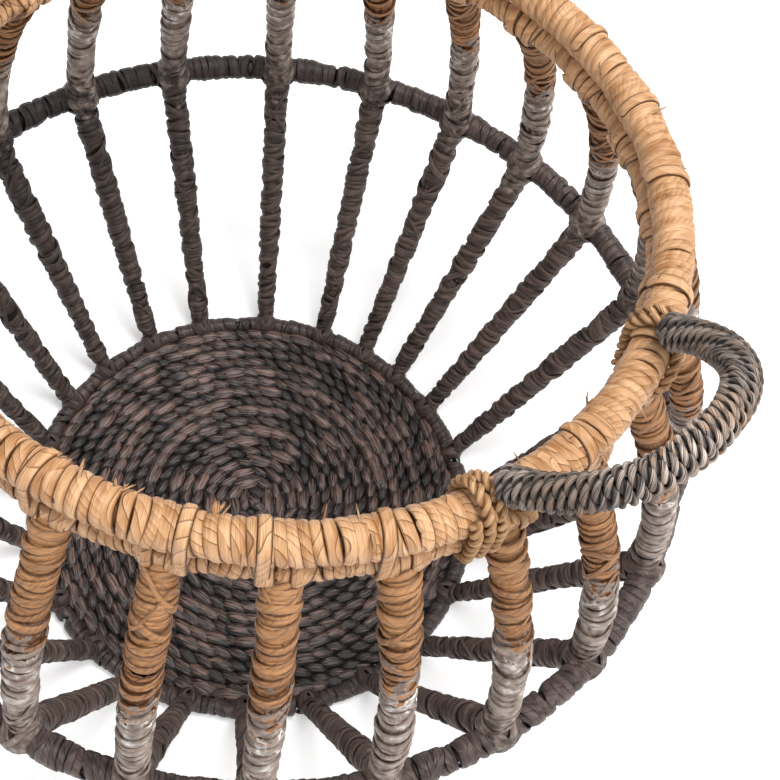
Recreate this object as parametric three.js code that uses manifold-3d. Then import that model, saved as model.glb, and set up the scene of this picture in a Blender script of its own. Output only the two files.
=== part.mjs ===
import * as THREE from 'three';
import * as BufferGeometryUtils from 'three/addons/utils/BufferGeometryUtils.js';
import Module from 'manifold-3d';

// Round openwork basket: a welded steel wire frame bound all over with leaf strips,
// a spiral woven mat in its base ring, and two corded loop handles lashed to the rim.
// Millimetres, +Z up, origin on the floor under the middle, handles on the X axis.

const wasm = await Module();
wasm.setup();

// Heights and radii are those of the wires' and hoops' centrelines.
const mouthRadius = 165;
const bellyRadius = 213;
const baseRadius = 127;
const bellyHeight = 149;
const rimHeight = 308;
const ribCount = 24;
const ribBow = 11;

// Steel wire
const ringWireDiameter = 5;
const ribWireDiameter = 4;
const weldDepth = 0.5;

// Leaf binding, outside diameters
const baseHoopDiameter = 10.5;
const bellyHoopDiameter = 14;
const bellyGrooveDiameter = 7.8;
const lowerRimDiameter = 13.5;
const upperRimDiameter = 16.5;
const ribFootDiameter = 8.8;
const ribBellyDiameter = 12.6;
const ribTopDiameter = 14.6;

// Base mat
const matThickness = 7;
const matRings = 4;
const matRingRelief = 2.1;
const matGroundClearance = 1;

// Handles
const handleHalfAngle = 17;
const handleTilt = 40;
const handleDepth = 57;
const handleSquareness = 2.35;
const handleSeatOut = 2;
const handleSeatUp = 16.7;
const handleCoreDiameter = 5.5;
const handleTailDiameter = 4;
const handleCordDiameter = 4.1;
const handleCordLoops = 21;
const handleCordEndShare = 0.02;

// Rope lashings at the handles' feet. Offsets and reach are degrees along the rim.
const lashingRopeDiameter = 4.5;
const lashingTurns = 2.8;
const lashingTurnSpace = 1;
const lashingOffset = 1.3;
const tailLandingOffset = 0.4;
const tailReach = 6.2;

// Clearance between pieces that touch
const clearance = 0.3;

// Edges shorter than this are closed up where one piece is cut by another
const cutTolerance = 0.01;

// Faces around each kind of round section
const ringSteps = 48;
const coarseRingSteps = 24;
const hoopSides = 6;
const ribSides = 6;
const coreSides = 6;
const ribBowSteps = 3;
const wireSides = 4;
const cordSides = 4;
const cordStepsPerLoop = 8;
const handleSteps = 14;

// How far each rib's foot stands off its even place along the base ring, to the nearest
// half degree. At the belly the rib is off by half as much, and at the rim it is true.
const footShift = [
  1, 3.5, 2.5, 2.5, 2.5, 2.5, 1, -2.5, -4.5, -2.5, 1, 1,
  1.5, 0, -1, -2, -1, 1, 2, 0.5, -1, -1.5, -0.5, 0.5,
];

const baseHeight = baseHoopDiameter / 2;
const lowerRimHeight = rimHeight - upperRimDiameter / 2 - lowerRimDiameter / 2 - clearance;
const ribBellyRadius = bellyRadius - ringWireDiameter / 2 - ribWireDiameter / 2 + weldDepth;

// Materials

const steel = new THREE.MeshStandardMaterial({ color: 0x6b6d70, roughness: 0.5, metalness: 1 });
const tanLeaf = new THREE.MeshStandardMaterial({ color: 0xc79a66, roughness: 0.7, metalness: 0 });
const darkLeaf = new THREE.MeshStandardMaterial({ color: 0x4a3f3a, roughness: 0.75, metalness: 0 });
const ribLeaf = new THREE.MeshStandardMaterial({ color: 0x9a7b5c, roughness: 0.7, metalness: 0 });
const greyCord = new THREE.MeshStandardMaterial({ color: 0x86807a, roughness: 0.8, metalness: 0 });
const tanRope = new THREE.MeshStandardMaterial({ color: 0xb98d5f, roughness: 0.75, metalness: 0 });

// Closed meshes and the solids cut from them

function circumscribed(flatRadius, sides) {
  return flatRadius / Math.cos(Math.PI / sides);
}

function toSolid(geometry) {
  const bare = geometry.clone();
  bare.deleteAttribute('normal');
  bare.deleteAttribute('uv');
  const merged = BufferGeometryUtils.mergeVertices(bare, 1e-4);
  return new wasm.Manifold(new wasm.Mesh({
    numProp: 3,
    vertProperties: new Float32Array(merged.attributes.position.array),
    triVerts: new Uint32Array(merged.index.array),
    tolerance: cutTolerance,
  }));
}

function toGeometry(solid) {
  const mesh = solid.getMesh();
  const geometry = new THREE.BufferGeometry();
  geometry.setAttribute('position', new THREE.BufferAttribute(mesh.vertProperties, 3));
  geometry.setIndex(new THREE.BufferAttribute(mesh.triVerts, 1));
  geometry.computeVertexNormals();
  return geometry;
}

// A ring of round section with flats below, above and on both sides. The middle of each
// of its straight steps lies at the stated radius, and a step lies square across each rib.
function ringGeometry(radius, height, flatRadius, sides, steps) {
  const corner = circumscribed(flatRadius, sides);
  const firstCorner = sides % 4 === 0 ? 0.5 : 0;
  const profile = [];
  for (let i = 0; i <= sides; i += 1) {
    const angle = (2 * Math.PI * ((i % sides) + firstCorner)) / sides;
    const reach = circumscribed(radius + corner * Math.cos(angle), steps);
    profile.push(new THREE.Vector2(reach, height + corner * Math.sin(angle)));
  }
  const geometry = new THREE.LatheGeometry(profile, steps, Math.PI / steps);
  geometry.rotateX(Math.PI / 2);
  return geometry;
}

// A closed tube along a path, with a corner radius for each ring of its section. The
// section faces one given way and is carried on without twist, or faces a way per point.
function tubeGeometry(path, cornerRadii, sides, facing) {
  const positions = [];
  const indices = [];
  const side = new THREE.Vector3();
  const last = path.length - 1;
  path.forEach((point, i) => {
    const tangent = path[Math.min(i + 1, last)].clone().sub(path[Math.max(i - 1, 0)]).normalize();
    if (Array.isArray(facing)) side.copy(facing[i]);
    else if (i === 0) side.copy(facing);
    side.addScaledVector(tangent, -side.dot(tangent)).normalize();
    const up = tangent.clone().cross(side);
    for (let j = 0; j < sides; j += 1) {
      const angle = (2 * Math.PI * (j + 0.5)) / sides;
      const corner = point.clone();
      corner.addScaledVector(side, cornerRadii[i] * Math.cos(angle));
      corner.addScaledVector(up, cornerRadii[i] * Math.sin(angle));
      positions.push(corner.x, corner.y, corner.z);
    }
  });
  for (let i = 0; i < last; i += 1) {
    for (let j = 0; j < sides; j += 1) {
      const a = i * sides + j;
      const b = i * sides + ((j + 1) % sides);
      indices.push(a, b, b + sides, a, b + sides, a + sides);
    }
  }
  for (let j = 1; j < sides - 1; j += 1) {
    indices.push(0, j + 1, j);
    indices.push(last * sides, last * sides + j, last * sides + j + 1);
  }
  const geometry = new THREE.BufferGeometry();
  geometry.setAttribute('position', new THREE.Float32BufferAttribute(positions, 3));
  geometry.setIndex(indices);
  geometry.computeVertexNormals();
  return geometry;
}

function evenTube(path, diameter, sides, facing) {
  const corner = circumscribed(diameter / 2, sides);
  return tubeGeometry(path, path.map(() => corner), sides, facing);
}

function polar(radius, degrees, height) {
  const angle = THREE.MathUtils.degToRad(degrees);
  return new THREE.Vector3(radius * Math.cos(angle), radius * Math.sin(angle), height);
}

// The line of a rib: straight from the base ring to the belly, then bowed in to the rim.
// The trims shorten it for its binding, which stops at the outsides of the bound hoops.
function ribPath(index, footTrim = 0, topTrim = 0) {
  const azimuth = (360 * index) / ribCount;
  const foot = polar(baseRadius, azimuth + footShift[index], baseHeight);
  const belly = polar(ribBellyRadius, azimuth + footShift[index] / 2, bellyHeight);
  const top = polar(mouthRadius, azimuth, lowerRimHeight);
  const lift = ribBellyRadius - mouthRadius;
  const outward = polar(lowerRimHeight - bellyHeight, azimuth, lift).normalize();
  const pull = belly.clone().add(top).multiplyScalar(0.5).addScaledVector(outward, 2 * ribBow);
  const bow = new THREE.QuadraticBezierCurve3(belly, pull, top);
  const path = [foot, ...bow.getPoints(ribBowSteps)];
  const upward = belly.clone().sub(foot).normalize();
  path[0] = foot.clone().addScaledVector(upward, footTrim);
  const inward = path[path.length - 2].clone().sub(top).normalize();
  path[path.length - 1] = top.clone().addScaledVector(inward, topTrim);
  return path;
}

function ribSide(index) {
  return polar(1, (360 * index) / ribCount + 90, 0);
}

// Wire frame, grown on all sides by a gap where it cuts the binding round it
function frameSolid(gap) {
  const ringRadius = ringWireDiameter / 2 + gap;
  const solids = [
    toSolid(ringGeometry(baseRadius, baseHeight, ringRadius, wireSides, coarseRingSteps)),
    toSolid(ringGeometry(bellyRadius, bellyHeight, ringRadius, wireSides, coarseRingSteps)),
    toSolid(ringGeometry(mouthRadius, lowerRimHeight, ringRadius, wireSides, coarseRingSteps)),
  ];
  for (let i = 0; i < ribCount; i += 1) {
    solids.push(toSolid(evenTube(ribPath(i), ribWireDiameter + 2 * gap, wireSides, ribSide(i))));
  }
  return wasm.Manifold.union(solids);
}

// The outside of a rib's binding, slender at the foot and full at the rim
function ribBindingGeometry(index, gap) {
  const path = ribPath(index, baseHoopDiameter / 2, lowerRimDiameter / 2);
  const diameters = path.map((point, i) => {
    if (i === 0) return ribFootDiameter;
    return THREE.MathUtils.lerp(ribBellyDiameter, ribTopDiameter, (i - 1) / (path.length - 2));
  });
  const corners = diameters.map((diameter) => circumscribed(diameter / 2 + gap, ribSides));
  return tubeGeometry(path, corners, ribSides, ribSide(index));
}

function hoopSolid(radius, height, diameter, steps) {
  return toSolid(ringGeometry(radius, height, diameter / 2, hoopSides, steps));
}

const group = new THREE.Group();

function addPart(name, geometry, material) {
  const mesh = new THREE.Mesh(geometry, material);
  mesh.name = name;
  group.add(mesh);
}

// Frame and binding

const wireBore = frameSolid(clearance);
addPart('steel_frame', toGeometry(frameSolid(0)), steel);

function baseHoop(gap) {
  return hoopSolid(baseRadius, baseHeight, baseHoopDiameter + 2 * gap, coarseRingSteps);
}

function lowerRim(gap) {
  return hoopSolid(mouthRadius, lowerRimHeight, lowerRimDiameter + 2 * gap, ringSteps);
}

// The binding of a rib parts on its outer side, where the belly ring lies against its wire
const bellyGroove = hoopSolid(bellyRadius, bellyHeight, bellyGrooveDiameter, coarseRingSteps);
const hoopRooms = wasm.Manifold.union([baseHoop(clearance), bellyGroove, lowerRim(clearance)]);
const ribRooms = [];
for (let i = 0; i < ribCount; i += 1) {
  const binding = toSolid(ribBindingGeometry(i, 0)).subtract(wireBore).subtract(hoopRooms);
  ribRooms.push(toSolid(ribBindingGeometry(i, clearance)));
  addPart(`rib_binding_${String(i + 1).padStart(2, '0')}`, toGeometry(binding), ribLeaf);
}

addPart('base_hoop_binding', toGeometry(baseHoop(0).subtract(wireBore)), darkLeaf);

const bellyRooms = wireBore.add(wasm.Manifold.union(ribRooms));
const bellyHoop = hoopSolid(bellyRadius, bellyHeight, bellyHoopDiameter, ringSteps).subtract(bellyRooms);
addPart('belly_hoop_binding', toGeometry(bellyHoop), darkLeaf);

addPart('rim_lower_binding', toGeometry(lowerRim(0).subtract(wireBore)), tanLeaf);

// The upper rim is a leaf-bound cane hoop that lies on the bound rim ring
const upperHoopGeometry = ringGeometry(mouthRadius, rimHeight, upperRimDiameter / 2, hoopSides, ringSteps);
addPart('rim_upper_hoop', upperHoopGeometry, tanLeaf);

// Base mat, a disc that fills the base hoop. The main rows of its coil are raised rings.
const matFlatRadius = baseRadius - circumscribed(baseHoopDiameter / 2, hoopSides) - clearance;
const matRadius = circumscribed(matFlatRadius, coarseRingSteps);
const matTop = matGroundClearance + matThickness;
const matProfile = [
  new THREE.Vector2(0, matGroundClearance),
  new THREE.Vector2(matRadius, matGroundClearance),
];
for (let i = 2 * matRings; i >= 0; i -= 1) {
  const height = i % 2 === 1 ? matTop : matTop - matRingRelief;
  matProfile.push(new THREE.Vector2((matRadius * i) / (2 * matRings), height));
}
const matGeometry = new THREE.LatheGeometry(matProfile, coarseRingSteps, Math.PI / coarseRingSteps);
matGeometry.rotateX(Math.PI / 2);
addPart('base_mat', matGeometry, darkLeaf);

// Handles

// The line of a handle's loop, square-shouldered, in a plane that leans out from the rim
function handleLoopPoint(turn) {
  const seatRadius = mouthRadius + handleSeatOut;
  const half = THREE.MathUtils.degToRad(handleHalfAngle);
  const tilt = THREE.MathUtils.degToRad(handleTilt);
  const power = 2 / handleSquareness;
  const across = -Math.sign(Math.cos(turn)) * Math.abs(Math.cos(turn)) ** power;
  const out = handleDepth * Math.max(Math.sin(turn), 0) ** power;
  return new THREE.Vector3(
    seatRadius * Math.cos(half) + out * Math.cos(tilt),
    seatRadius * Math.sin(half) * across,
    rimHeight + handleSeatUp + out * Math.sin(tilt),
  );
}

const handleLoop = new THREE.CatmullRomCurve3(
  Array.from({ length: 4 * handleSteps + 1 }, (_, i) => handleLoopPoint((Math.PI * i) / (4 * handleSteps))),
);

// The bare tail of the core drops on to the upper rim hoop and lies along its top, from
// beside the handle to past the last turn of its lashing
const tailHeight = upperRimDiameter / 2 + clearance + circumscribed(handleTailDiameter / 2, coreSides);
const lashingStart = handleHalfAngle + lashingOffset;
const tailLanding = lashingStart + tailLandingOffset;
const tailEnd = lashingStart + tailReach;

function tailPoints(sideSign) {
  const midway = polar(
    mouthRadius + handleSeatOut / 2,
    (sideSign * (handleHalfAngle + tailLanding)) / 2,
    rimHeight + (handleSeatUp + tailHeight) / 2,
  );
  const along = [0, 0.5, 1].map((share) => {
    const azimuth = THREE.MathUtils.lerp(tailLanding, tailEnd, share);
    return polar(mouthRadius, sideSign * azimuth, rimHeight + tailHeight);
  });
  return [midway, ...along];
}

function handleCoreGeometry() {
  const frontTail = tailPoints(-1).reverse();
  const backTail = tailPoints(1);
  const loop = handleLoop.getSpacedPoints(handleSteps);
  const path = [...frontTail, ...loop, ...backTail];
  const corners = path.map((point, i) => {
    const inLoop = i >= frontTail.length && i < frontTail.length + loop.length;
    return circumscribed((inLoop ? handleCoreDiameter : handleTailDiameter) / 2, coreSides);
  });
  return tubeGeometry(path, corners, coreSides, new THREE.Vector3(0, 1, 0));
}

// Least gap of a tube to itself, measured between points more than half a loop apart
function leastGapToItself(points, diameter, pointsPerLoop) {
  let least = Infinity;
  const fine = new THREE.CatmullRomCurve3(points).getPoints(points.length * 3);
  const apart = Math.round(pointsPerLoop * 1.5);
  for (let i = 0; i < fine.length; i += 1) {
    for (let j = i + apart; j < fine.length; j += 1) {
      least = Math.min(least, fine[i].distanceTo(fine[j]));
    }
  }
  return least - diameter;
}

// The cord wound over the loop of the core, a flat side of its section against the core.
// Its straight steps cut the corners of a true coil, so the coil is that much wider.
const coreCorner = circumscribed(handleCoreDiameter / 2, coreSides);
const windingRadius = circumscribed(coreCorner + clearance + handleCordDiameter / 2, cordStepsPerLoop);

function handleCordWinding() {
  const tilt = THREE.MathUtils.degToRad(handleTilt);
  const planeNormal = new THREE.Vector3(-Math.sin(tilt), 0, Math.cos(tilt));
  const steps = handleCordLoops * cordStepsPerLoop;
  const path = [];
  const facing = [];
  for (let i = 0; i <= steps; i += 1) {
    const share = THREE.MathUtils.lerp(handleCordEndShare, 1 - handleCordEndShare, i / steps);
    const turn = (2 * Math.PI * i) / cordStepsPerLoop;
    const side = planeNormal.clone().cross(handleLoop.getTangentAt(share));
    const out = side.multiplyScalar(Math.cos(turn)).addScaledVector(planeNormal, Math.sin(turn));
    path.push(handleLoop.getPointAt(share).addScaledVector(out, windingRadius));
    facing.push(out);
  }
  return { path, facing };
}

const cordWinding = handleCordWinding();
console.log('handle cord, least gap to itself, mm:',
  leastGapToItself(cordWinding.path, handleCordDiameter, cordStepsPerLoop).toFixed(2));

// The rope that lashes a handle's tail to both rim hoops. Each turn goes under the lower
// hoop and over the tail on top of the upper one.
const arcSteps = 4;
const stepsPerCircle = 2 * arcSteps;
const stationsPerTurn = 2 * (arcSteps + 1);
const upperHoopCorner = circumscribed(upperRimDiameter / 2, hoopSides);
const lowerHoopCorner = circumscribed(lowerRimDiameter / 2, hoopSides);
const ropeStandOff = clearance + lashingRopeDiameter / 2;
const upperRopeRadius = circumscribed(upperHoopCorner + ropeStandOff, stepsPerCircle);
const lowerRopeRadius = circumscribed(lowerHoopCorner + ropeStandOff, stepsPerCircle);
const tailCrest = tailHeight + circumscribed(handleTailDiameter / 2, coreSides) + clearance;
const raisedRopeRadius = circumscribed(tailCrest + ropeStandOff, stepsPerCircle);
const lashingPitch = lashingRopeDiameter + lashingTurnSpace;

function lashingWinding(sideSign) {
  const path = [];
  const facing = [];
  const topStation = arcSteps + 1 + arcSteps / 2;
  const stations = Math.round(lashingTurns * stationsPerTurn);
  for (let i = 0; i <= stations; i += 1) {
    const station = i % stationsPerTurn;
    const onUpper = station > arcSteps;
    const swing = (180 * (station % (arcSteps + 1))) / arcSteps;
    const turn = THREE.MathUtils.degToRad(onUpper ? swing : 180 + swing);
    let radius = onUpper ? upperRopeRadius : lowerRopeRadius;
    if (station === topStation) radius = raisedRopeRadius;
    const centreHeight = onUpper ? rimHeight : lowerRimHeight;
    const travel = (lashingPitch * i) / stationsPerTurn;
    const azimuth = sideSign * (lashingStart + THREE.MathUtils.radToDeg(travel / mouthRadius));
    const height = centreHeight + radius * Math.sin(turn);
    path.push(polar(mouthRadius + radius * Math.cos(turn), azimuth, height));
    facing.push(polar(Math.cos(turn), azimuth, Math.sin(turn)));
  }
  return { path, facing };
}

console.log('lashing rope, least gap to itself, mm:',
  leastGapToItself(lashingWinding(1).path, lashingRopeDiameter, stationsPerTurn).toFixed(2));

['right', 'left'].forEach((name, i) => {
  const turned = (geometry) => geometry.rotateZ(Math.PI * i);
  addPart(`handle_core_${name}`, turned(handleCoreGeometry()), steel);
  const cord = evenTube(cordWinding.path, handleCordDiameter, cordSides, cordWinding.facing);
  addPart(`handle_cord_${name}`, turned(cord), greyCord);
  [1, -1].forEach((sideSign) => {
    const foot = sideSign === 1 ? 'back' : 'front';
    const rope = lashingWinding(sideSign);
    const lashing = evenTube(rope.path, lashingRopeDiameter, cordSides, rope.facing);
    addPart(`lashing_${name}_${foot}`, turned(lashing), tanRope);
  });
});

export default group;
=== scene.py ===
import math
import random

import bpy
from mathutils import Matrix, Vector


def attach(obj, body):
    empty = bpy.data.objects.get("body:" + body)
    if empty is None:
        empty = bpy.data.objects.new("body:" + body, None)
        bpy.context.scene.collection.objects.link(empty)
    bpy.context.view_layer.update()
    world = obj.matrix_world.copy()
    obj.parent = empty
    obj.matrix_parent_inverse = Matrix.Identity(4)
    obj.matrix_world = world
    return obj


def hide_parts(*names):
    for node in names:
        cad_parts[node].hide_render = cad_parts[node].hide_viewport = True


# Round openwork basket, in metres, put together in the order a basket maker would:
# wire frame, bound ribs and hoops, base mat, rim, handles and their lashings.
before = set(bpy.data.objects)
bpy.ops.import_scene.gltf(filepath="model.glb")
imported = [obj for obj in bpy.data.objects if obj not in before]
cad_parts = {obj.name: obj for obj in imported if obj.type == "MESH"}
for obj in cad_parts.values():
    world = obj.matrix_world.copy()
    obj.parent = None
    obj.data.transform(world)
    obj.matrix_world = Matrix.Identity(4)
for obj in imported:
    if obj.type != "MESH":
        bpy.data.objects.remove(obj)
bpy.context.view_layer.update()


# Wire frame
# Mild steel wire, drawn and spot-welded: three rings and the ribs that join them. The
# leaf binding hides all of it.
def srgb(text):
    """An sRGB hex colour as linear red, green, blue and alpha."""
    shares = [int(text[i:i + 2], 16) / 255 for i in (0, 2, 4)]
    return (*[c / 12.92 if c <= 0.04045 else ((c + 0.055) / 1.055) ** 2.4 for c in shares], 1)


def add(tree, kind, inputs=(), **settings):
    """A node with its settings, and each input set to a value or linked to a socket or node."""
    node = tree.nodes.new(kind)
    for name, value in settings.items():
        setattr(node, name, value)
    for key, value in inputs.items() if isinstance(inputs, dict) else enumerate(inputs):
        if isinstance(value, bpy.types.Node):
            value = next(socket for socket in value.outputs if socket.enabled)
        if isinstance(value, bpy.types.NodeSocket):
            tree.links.new(value, node.inputs[key])
        else:
            node.inputs[key].default_value = value
    return node


def new_material(name):
    """A material with its node tree and its shader."""
    material = bpy.data.materials.new(name)
    material.use_nodes = True
    return material, material.node_tree, material.node_tree.nodes["Principled BSDF"]


def drawn_wire():
    """Mild steel as it leaves the drawing die: dull grey, with a soft metal gleam."""
    material, _, shader = new_material("Drawn mild steel wire")
    shader.inputs["Base Color"].default_value = srgb("8A8B8D")
    shader.inputs["Metallic"].default_value = 1
    shader.inputs["Roughness"].default_value = 0.45
    return material


wire_material = drawn_wire()
wire_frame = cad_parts["steel_frame"]
wire_frame.data.materials.clear()
wire_frame.data.materials.append(wire_material)


# Ribs
# Each rib is a wire bound from base ring to rim with one long strip of dried leaf, each turn
# lapping the one before. The leaf is left natural at the top, brushed silver over the
# shoulder and stained dark from the belly down.
rib_count = 24
mouth_radius = 0.165
belly_radius = 0.213
base_radius = 0.127
base_height = 0.00525
belly_height = 0.149
lower_rim_height = 0.2927
rib_belly_radius = 0.209
rib_bow = 0.011
rib_foot_radius = 0.0037
rib_top_radius = 0.0070
rib_length = 0.32
rib_strip_pitch = 0.0029
rib_crossing_pitch = 0.0088
rib_crossing_foot_lift = 0.0006
rib_crossing_top_lift = 0.0012
silver_top = 0.230
silver_bottom = 0.153
silver_fade_above = 0.030
silver_fade_below = 0.008
glint_band_depth = 0.03

# How far each rib's foot stands off its even place along the base ring, in degrees
foot_shift = [
    1, 3.5, 2.5, 2.5, 2.5, 2.5, 1, -2.5, -4.5, -2.5, 1, 1,
    1.5, 0, -1, -2, -1, 1, 2, 0.5, -1, -1.5, -0.5, 0.5,
]


def polar(radius, degrees, height):
    """The point at this radius, angle and height about the basket's upright axis."""
    angle = math.radians(degrees)
    return Vector((radius * math.cos(angle), radius * math.sin(angle), height))


def rib_line(index):
    """Straight from the base ring to the belly, then bowed in to the rim."""
    azimuth = 360 * index / rib_count
    foot = polar(base_radius, azimuth + foot_shift[index], base_height)
    belly = polar(rib_belly_radius, azimuth + foot_shift[index] / 2, belly_height)
    top = polar(mouth_radius, azimuth, lower_rim_height)
    rise = lower_rim_height - belly_height
    outward = polar(rise, azimuth, rib_belly_radius - mouth_radius).normalized()
    pull = (belly + top) / 2 + 2 * rib_bow * outward
    straight_steps, bow_steps = 12, 16
    straight = [foot.lerp(belly, i / straight_steps) for i in range(straight_steps)]
    bow = []
    for i in range(bow_steps + 1):
        t = i / bow_steps
        bow.append((1 - t) ** 2 * belly + 2 * t * (1 - t) * pull + t * t * top)
    return straight + bow


def path_object(name, points, closed):
    """A curve object that a geometry tree can follow."""
    curve = bpy.data.curves.new(name, "CURVE")
    curve.dimensions = "3D"
    spline = curve.splines.new("POLY")
    spline.points.add(len(points) - 1)
    for place, point in zip(spline.points, points):
        place.co = (*point, 1)
    spline.use_cyclic_u = closed
    path = bpy.data.objects.new(name, curve)
    bpy.context.scene.collection.objects.link(path)
    return path


def new_tree(name, sockets):
    """A geometry tree with named inputs, and its input node."""
    tree = bpy.data.node_groups.new(name, "GeometryNodeTree")
    for label, kind in sockets.items():
        tree.interface.new_socket(label, in_out="INPUT", socket_type="NodeSocket" + kind)
    tree.interface.new_socket("Geometry", in_out="OUTPUT", socket_type="NodeSocketGeometry")
    return tree, add(tree, "NodeGroupInput")


def finish_tree(tree, geometry, material):
    """Smooth faces, Realize Instances and Set Material end every tree."""
    smooth = add(tree, "GeometryNodeSetShadeSmooth", {"Geometry": geometry})
    real = add(tree, "GeometryNodeRealizeInstances", {"Geometry": smooth})
    finished = add(tree, "GeometryNodeSetMaterial", {"Geometry": real, "Material": material})
    add(tree, "NodeGroupOutput", [finished])
    return tree


def grow(name, tree, values):
    """The plain mesh piece that a geometry tree makes from these inputs."""
    host = bpy.data.objects.new(name + " host", bpy.data.meshes.new(name + " host"))
    bpy.context.scene.collection.objects.link(host)
    modifier = host.modifiers.new("tree", "NODES")
    modifier.node_group = tree
    for item in tree.interface.items_tree:
        if item.name in values:
            modifier[item.identifier] = values[item.name]
    graph = bpy.context.evaluated_depsgraph_get()
    mesh = bpy.data.meshes.new_from_object(
        host.evaluated_get(graph), preserve_all_data_layers=True, depsgraph=graph)
    bpy.data.objects.remove(host)
    mesh.name = name
    piece = bpy.data.objects.new(name, mesh)
    bpy.context.scene.collection.objects.link(piece)
    return piece


def winding_tree():
    """A core round a path, and one strip wound over it. Both start as a cylinder, whose
    height becomes the way along the path and whose roundness becomes the section."""
    tree, given = new_tree("Wound leaf strip", {
        "Path": "Object", "Turns": "Float", "Steps": "Int", "Start Radius": "Float",
        "End Radius": "Float", "Strip Width": "Float", "Strip Thickness": "Float",
        "Shingle": "Float", "Slant": "Float", "Wander": "Float", "Lump": "Float",
        "Rag": "Float", "Seed": "Float", "Material": "Material",
    })
    value = given.outputs
    path = add(tree, "GeometryNodeObjectInfo", {"Object": value["Path"]}).outputs["Geometry"]
    length = add(tree, "GeometryNodeCurveLength", [path])
    place = add(tree, "ShaderNodeSeparateXYZ", [add(tree, "GeometryNodeInputPosition")])
    side, lift = place.outputs[0], place.outputs[1]
    share = add(tree, "ShaderNodeMath", [place.outputs[2], 0.5], operation="ADD")
    turn = add(tree, "ShaderNodeMath", [share, value["Turns"]], operation="MULTIPLY")
    angle = add(tree, "ShaderNodeMath", [turn, 2 * math.pi], operation="MULTIPLY")

    # Hand work: slow changes from turn to turn, each with its own pace and offset
    def drift(pace, offset, reach):
        seeded = add(tree, "ShaderNodeMath", [turn, pace, value["Seed"]], operation="MULTIPLY_ADD")
        shifted = add(tree, "ShaderNodeMath", [seeded, offset], operation="ADD")
        noise = add(tree, "ShaderNodeTexNoise", {"W": shifted, "Scale": 1, "Detail": 1},
                    noise_dimensions="1D")
        centred = add(tree, "ShaderNodeMath", [noise, 0.5], operation="SUBTRACT")
        return add(tree, "ShaderNodeMath", [centred, reach], operation="MULTIPLY")

    phase = add(tree, "ShaderNodeMath", [angle, drift(0.17, 3, value["Wander"])], operation="ADD")
    swing = add(tree, "ShaderNodeMath", [phase], operation="SINE")
    tilt = add(tree, "ShaderNodeMath", [drift(0.16, 31, 5), value["Slant"]], operation="MULTIPLY")
    slip = add(tree, "ShaderNodeMath", [swing, tilt], operation="MULTIPLY")
    travel = add(tree, "ShaderNodeMath", [share, length, slip], operation="MULTIPLY_ADD")
    sample = add(tree, "GeometryNodeSampleCurve", {"Curves": path, "Length": travel},
                 mode="LENGTH", use_all_curves=True)
    point, tangent, normal = (sample.outputs[name] for name in ("Position", "Tangent", "Normal"))
    across = add(tree, "ShaderNodeVectorMath", [tangent, normal], operation="CROSS_PRODUCT")
    cosine = add(tree, "ShaderNodeMath", [angle], operation="COSINE")
    sine = add(tree, "ShaderNodeMath", [angle], operation="SINE")
    level = add(tree, "ShaderNodeVectorMath", {0: normal, "Scale": cosine}, operation="SCALE")
    upright = add(tree, "ShaderNodeVectorMath", {0: across, "Scale": sine}, operation="SCALE")
    radial = add(tree, "ShaderNodeVectorMath", [level, upright], operation="ADD")

    swell = add(tree, "ShaderNodeMath", [share, 0.7], operation="POWER")
    radius = add(tree, "ShaderNodeMapRange", {
        "Value": swell, "To Min": value["Start Radius"], "To Max": value["End Radius"]})
    lump = add(tree, "ShaderNodeMath", [drift(0.23, 57, 2), value["Lump"], radius],
               operation="MULTIPLY_ADD")
    knot = add(tree, "ShaderNodeMath", [drift(0.9, 83, 1.1), value["Lump"], lump],
               operation="MULTIPLY_ADD")
    half_thick = add(tree, "ShaderNodeMath", [value["Strip Thickness"], 0.5], operation="MULTIPLY")
    bulge = add(tree, "ShaderNodeMath", [lift, half_thick, knot], operation="MULTIPLY_ADD")
    height = add(tree, "ShaderNodeMath", [side, value["Shingle"], bulge], operation="MULTIPLY_ADD")
    out = add(tree, "ShaderNodeVectorMath", {0: radial, "Scale": height}, operation="SCALE")
    rag = add(tree, "ShaderNodeMath", [drift(0.8, 11, 2), value["Rag"], 1],
              operation="MULTIPLY_ADD")
    half_width = add(tree, "ShaderNodeMath", [value["Strip Width"], 0.5], operation="MULTIPLY")
    ragged = add(tree, "ShaderNodeMath", [half_width, rag], operation="MULTIPLY")
    spread = add(tree, "ShaderNodeMath", [side, ragged], operation="MULTIPLY")
    along = add(tree, "ShaderNodeVectorMath", {0: tangent, "Scale": spread}, operation="SCALE")
    wound = add(tree, "ShaderNodeVectorMath", [point, out], operation="ADD")
    placed = add(tree, "ShaderNodeVectorMath", [wound, along], operation="ADD")

    segments = add(tree, "ShaderNodeMath", [value["Turns"], value["Steps"]], operation="MULTIPLY")
    rod = add(tree, "GeometryNodeMeshCylinder", {
        "Vertices": 8, "Side Segments": segments, "Radius": 1, "Depth": 1})
    run = add(tree, "ShaderNodeMath", [angle, value["End Radius"]], operation="MULTIPLY")
    strip_place = add(tree, "ShaderNodeCombineXYZ", [run, side, turn])
    marked = add(tree, "GeometryNodeStoreNamedAttribute", {
        "Geometry": rod.outputs["Mesh"], "Name": "strip", "Value": strip_place},
        data_type="FLOAT_VECTOR", domain="POINT")
    strip = add(tree, "GeometryNodeSetPosition", {"Geometry": marked, "Position": placed})
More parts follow.
